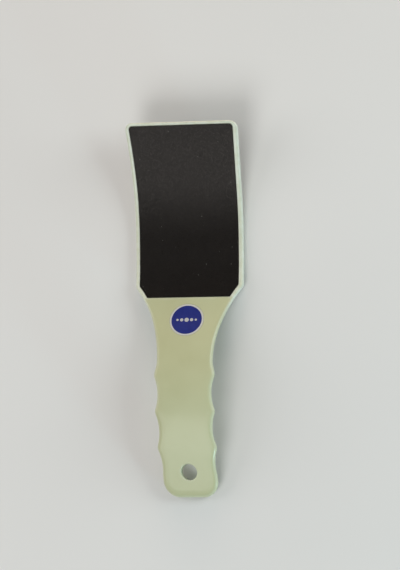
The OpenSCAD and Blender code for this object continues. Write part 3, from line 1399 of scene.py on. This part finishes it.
    def _from_edge(self, places: np.ndarray) -> np.ndarray:
        """How far in from the outline flat points lie.

        Args:
            places: The flat points.

        Returns:
            A distance for each.
        """
        side = self.outline.walk()[::self.side_skip]
        end_y, tip_y = self.line.ends()
        tree = KDTree(len(side))
        for k, point in enumerate(side):
            tree.insert((point[0], point[1], 0), k)
        tree.balance()
        out = np.array([tree.find((abs(p[0]), p[1], 0))[2] for p in places])
        return np.minimum(out, np.minimum(tip_y - places[:, 1], places[:, 1] - end_y))

    def _crown(self, piece: bpy.types.Object) -> None:
        """Crowns the grip's faces, so that they fall gently towards its rounded edges.

        Args:
            piece: The flat blade.
        """
        places = Bench.co(piece)
        slant = self.crown_w - self.crown_flat
        near = np.clip((self.crown_w - self._from_edge(places)) / slant, 0, 1)
        grip = np.interp(places[:, 1], [self.label_y(), self.sheet_end() - self.crown_fade],
                         [1.0, 0.0])
        places[:, 2] *= 1 - self.crown_drop * grip * soft_share(near)
        Bench.put(piece, places)

    def _edge_highlight_share(self, piece: bpy.types.Object) -> None:
        """Keeps on each vertex how near it is to an edge, which sets how much painted highlight it
        gets.

        Args:
            piece: The flat blade.
        """
        places = Bench.co(piece)
        y, top, outer = places[:, 1], self.sheet_end(), self._from_edge(places)
        hole = abs(self._off_hole(places))
        recess = np.where(y > top - CLOSE, abs(outer - self.rim_w), FAR_OFF)
        near = np.minimum(outer, np.minimum(hole * self.hole_highlight_falloff, recess * self.recess_highlight_falloff))
        share = np.clip(1 - near / self.highlight_w, 0, 1)
        share *= np.interp(y, [self.round_to, top - self.tone_lead], [self.grip_highlight, 1.0])
        # A thin band of painted highlight just below the sheets' lower edge
        under = (y <= top + CLOSE) & (outer > self.rim_w)
        below = np.where(under, top - y, FAR_OFF)
        share = np.maximum(share, np.clip(1 - below / self.below_w, 0, 1) * self.below_highlight)
        # The rims beside the sheets get painted highlight across their whole width
        on_rim = (y > top - self.rim_lead) & (outer < self.rim_w + self.rim_slack)
        edge = piece.data.attributes.new("edge", "FLOAT", "POINT")
        edge.data.foreach_set("value", np.maximum(share, on_rim * self.rim_highlight))

    def dress(self, piece: bpy.types.Object) -> None:
        """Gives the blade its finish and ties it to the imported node.

        Args:
            piece: The blade.
        """
        piece.data.materials.clear()
        piece.data.materials.append(self.finish.make())
        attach(piece, "root")
        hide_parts("blade")


@dataclass
class BondedSheet:
    """An abrasive sheet in its recess: a film, a cloth backing and a coat of grit.

    Its lengths are in millimetres.
    """

    line: MiddleLine
    outline: Outline
    face: Face
    end_y: float
    coat: GritCoat
    coat_t: float
    rough_depth: float
    seed: int
    cell: float = 0.62
    plain_cell: float = 1.8
    corner_steps: int = 5
    inset: float = 3.0
    gap: float = 0.25
    floor: float = 1.6
    adhesive_t: float = 0.15
    backing_t: float = 0.45
    rough_power: float = 1.6
    plain_smooth: float = 32.0
    rough_smooth: float = 24.0

    def _flat(self, cell: float) -> np.ndarray:
        """The sheet's flat points, rows by columns.

        Args:
            cell: The size of a cell.

        Returns:
            The points.
        """
        high = self.outline.corner_ys(self.inset, self.corner_steps)[1]
        low = self.end_y + self.gap
        count = math.ceil((high[0] - low) / cell)
        ys = np.concatenate([np.linspace(low, high[0], count + 1)[:-1], high])
        side = self.outline.rows_at(self.inset, ys)
        cols = 2 * math.ceil(side[:, 0].max() / cell)
        flat = np.zeros((len(ys), cols + 1, 3))
        flat[:, :, 0] = side[:, 0:1] * np.linspace(-1, 1, cols + 1)
        flat[:, :, 1] = self.outline.to_tip(ys)[:, None]
        return flat

    def _layer(self, name: str, low: float, thick: float, rough: float = 0.0) -> bpy.types.Object:
        """Models one layer and lifts it onto the blade.

        Args:
            name: The piece's name.
            low: Its lower face's distance off the middle line.
            thick: Its thickness.
            rough: How deep its outer face is broken up.

        Returns:
            The layer.
        """
        piece = Bench.grid(name, self._flat(self.cell if rough else self.plain_cell))
        Bench.thicken(piece, thick)
        places = Bench.co(piece)
        top = places[:, 2] > 0
        if rough:
            dice = np.random.RandomState(self.seed).random_sample(int(top.sum()))
            places[top, 2] -= rough * dice ** self.rough_power
        places[:, 2] = (places[:, 2] + low + thick / 2) * self.face.value
        if self.face is Face.REAR:
            Bench.select(piece, "FACE", np.ones(len(piece.data.polygons), bool))
            bpy.ops.mesh.flip_normals()
            Bench.done()
        Bench.put(piece, self.line.lift(places))
        Bench.finish(piece, self.rough_smooth if rough else self.plain_smooth)
        return piece

    def build(self) -> list[bpy.types.Object]:
        """Models the sheet's three layers, from the recess's floor outwards.

        Returns:
            The film, the backing and the coat.
        """
        side = self.face.name.lower()
        cloth_at = self.floor + self.adhesive_t
        coat_at = cloth_at + self.backing_t
        return [self._layer(f"{side}_film", self.floor, self.adhesive_t),
                self._layer(f"{side}_cloth", cloth_at, self.backing_t),
                self._layer(f"{side}_coat", coat_at, self.coat_t, self.rough_depth)]

    def dress(self, layers: list[bpy.types.Object], film: bpy.types.Material,
              cloth: bpy.types.Material) -> None:
        """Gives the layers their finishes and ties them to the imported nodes.

        Args:
            layers: The film, the backing and the coat.
            film: The film's material.
            cloth: The backing's material.
        """
        side = self.face.name.lower()
        slot = "coarse_grit" if self.face is Face.FRONT else "fine_grit"
        looks = [(film, "adhesive", "adhesive"), (cloth, "backing", "sheet_backing"),
                 (self.coat.make(), "grit", slot)]
        for piece, (look, node, name) in zip(layers, looks):
            piece.data.materials.append(look)
            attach(piece, "root")
            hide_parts(f"{side}_{node}")


@dataclass
class NeckLabel:
    """The round printed label and its film, bonded in the neck's pocket.

    Its lengths are in millimetres.
    """

    line: MiddleLine
    centre_y: float
    label_d: float = 23.6
    pocket_floor: float = 2.35
    adhesive_t: float = 0.1
    label_t: float = 0.3
    edge_soft: float = 0.08
    edge_steps: int = 2
    rings: int = 9
    sides: int = 96

    def _disc(self, name: str, low: float, thick: float, soft: float) -> bpy.types.Object:
        """Models a thin disc in rings and lifts it onto the neck.

        Args:
            name: The piece's name.
            low: Its lower face's distance off the middle line.
            thick: Its thickness.
            soft: How far its upper edge is rounded.

        Returns:
            The disc.
        """
        radius = self.label_d / 2
        Bench.clear()
        bpy.ops.mesh.primitive_circle_add(vertices=self.sides, radius=radius, fill_type="NGON")
        piece = Bench.added(name)
        for _ in range(self.rings):
            size = np.array([p.area for p in piece.data.polygons])
            Bench.select(piece, "FACE", size == size.max())
            bpy.ops.mesh.inset(thickness=radius / (self.rings + 1), depth=0)
            Bench.done()
        Bench.thicken(piece, thick)
        if soft:
            _, normal, _ = Bench.faces(piece)
            border = Bench.border(piece, abs(normal[:, 2]) > UPRIGHT)
            mid = Bench.co(piece)[Bench.edges(piece)].mean(axis=1)
            Bench.bevel(piece, border & (mid[:, 2] > 0), soft, self.edge_steps)
        places = Bench.co(piece)
        slope = self.line.heading(self.centre_y)
        places[:, 1] = places[:, 1] * math.cos(slope) + self.centre_y
        places[:, 2] += low + thick / 2
        Bench.put(piece, self.line.lift(places))
        Bench.finish(piece)
        return piece

    def build(self) -> list[bpy.types.Object]:
        """Models the film and the label.

        Returns:
            The two discs.
        """
        top = self.pocket_floor + self.adhesive_t
        return [self._disc("label_film", self.pocket_floor, self.adhesive_t, 0.0),
                self._disc("neck_label", top, self.label_t, self.edge_soft)]

    def dress(self, discs: list[bpy.types.Object], film: bpy.types.Material) -> None:
        """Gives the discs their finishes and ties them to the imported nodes.

        Args:
            discs: The film and the label.
            film: The film's material.
        """
        print_look = PrintedFilm(self.centre_y, self.line.heading(self.centre_y)).make()
        looks = [(film, "label_adhesive", "adhesive"), (print_look, "label", "label_print")]
        for piece, (look, node, slot) in zip(discs, looks):
            piece.data.materials.append(look)
            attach(piece, "root")
            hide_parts(node)


@dataclass
class Lamp:
    """A soft square lamp that shines at the file, its lengths in metres."""

    name: str
    place: Triple
    size: float
    power: float
    colour: Triple = (1.0, 1.0, 1.0)
    aim: Triple = (0.0, -0.04, 0.01)

    def build(self) -> None:
        """Adds the lamp."""
        Bench.clear()
        bpy.ops.object.light_add(type="AREA", location=self.place)
        lamp = bpy.context.object
        lamp.name = self.name
        lamp.data.shape = "SQUARE"
        lamp.data.size = self.size
        lamp.data.energy = self.power
        lamp.data.color = self.colour
        way = Vector(self.aim) - Vector(self.place)
        lamp.rotation_euler = way.to_track_quat("-Z", "Y").to_euler()


@dataclass
class Studio:
    """The pale floor, the soft light and the camera at the photograph's angle.

    Lengths are in metres and angles in degrees; the lens and its sensor are in millimetres.
    """

    lamps: list[Lamp]
    floor_size: float = 8.0
    world_level: float = 0.16
    distance: float = 2.2
    azimuth: float = 13.5
    drop: float = 2.0764
    roll: float = -0.6167
    target: Triple = (0.008014, -0.024886, 0.008354)
    lens: float = 204.2
    sensor_w: float = 36.0
    sight: float = 20.0

    def build(self) -> None:
        """Adds the floor, the lamps, the world and the camera."""
        Bench.clear()
        bpy.ops.mesh.primitive_plane_add(size=self.floor_size, location=(0, 0, 0))
        floor = Bench.added("table_top")
        floor.data.materials.append(PaleFloor().make())
        for lamp in self.lamps:
            lamp.build()
        world = bpy.data.worlds.new("soft_light")
        bpy.context.scene.world = world
        world.use_nodes = True
        back = world.node_tree.nodes["Background"]
        back.inputs["Color"].default_value = (1.0, 1.0, 1.0, 1.0)
        back.inputs["Strength"].default_value = self.world_level
        self._camera()
        bpy.context.scene.view_settings.view_transform = "Standard"

    def _camera(self) -> None:
        """Adds the camera, turned a little about its own axis."""
        across, down = math.radians(self.azimuth), math.radians(self.drop)
        way = Vector((math.tan(across), -math.tan(down), 1)).normalized()
        right = Vector((0, 1, 0)).cross(way).normalized()
        up = way.cross(right)
        turn = math.radians(self.roll)
        right, up = (right * math.cos(turn) + up * math.sin(turn),
                     up * math.cos(turn) - right * math.sin(turn))
        spot = Vector(self.target) + way * self.distance
        Bench.clear()
        bpy.ops.object.camera_add()
        camera = bpy.context.object
        camera.name = "photo_camera"
        camera.matrix_world = Matrix([(*row, 0) for row in (right, up, way)]
                                     + [(*spot, 1)]).transposed()
        camera.data.lens = self.lens
        camera.data.sensor_width = self.sensor_w
        camera.data.clip_end = self.sight
        bpy.context.scene.camera = camera


def main() -> None:
    """Builds the file's pieces in order and reports each."""
    logging.basicConfig(level=logging.INFO, format="%(message)s")
    line = MiddleLine()
    outline = Outline(line)
    blade = Blade(line, outline)
    moulding = blade.build()
    blade.dress(moulding)
    log.info("blade: %d faces", len(moulding.data.polygons))

    film, cloth = AdhesiveFilm().make(), ClothBacking().make()
    coarse = GritCoat("coarse_grit", dark=tone(3, 2, 2), light=tone(21, 18, 15),
                      grain=0.00042, glints=0.0007, roughness=0.36)
    fine = GritCoat("fine_grit", dark=tone(9, 8, 7), light=tone(34, 31, 28),
                    grain=0.00026, glints=0.002, roughness=0.5)
    end_y = blade.sheet_end()
    sheets = [BondedSheet(line, outline, Face.FRONT, end_y, coarse, coat_t=0.65,
                          rough_depth=0.07, seed=7),
              BondedSheet(line, outline, Face.REAR, end_y, fine, coat_t=0.6,
                          rough_depth=0.05, seed=11)]
    for sheet in sheets:
        layers = sheet.build()
        sheet.dress(layers, film, cloth)
        log.info("%s sheet: %s", sheet.face.name.lower(), [len(p.data.polygons) for p in layers])

    label = NeckLabel(line, blade.label_y())
    discs = label.build()
    label.dress(discs, film)
    log.info("label: %s", [len(p.data.polygons) for p in discs])

    Studio([Lamp("key", (-0.35, -0.95, 1.18), size=0.9, power=10.9),
            Lamp("left", (-1.1, 0.25, 0.65), size=0.9, power=6.0),
            Lamp("right", (1.1, 0.4, 0.6), size=0.7, power=9.0, colour=(0.88, 0.98, 1.0)),
            Lamp("back", (0.0, 1.45, 0.38), size=0.7, power=10.8, colour=(1.0, 0.76, 0.64)),
            Lamp("glint", (0.55, -0.65, 0.1), size=0.1, power=1.9, colour=(0.55, 0.9, 1.0)),
            ]).build()
    log.info("studio: floor, lamps and camera")


if __name__ == "__main__":
    main()
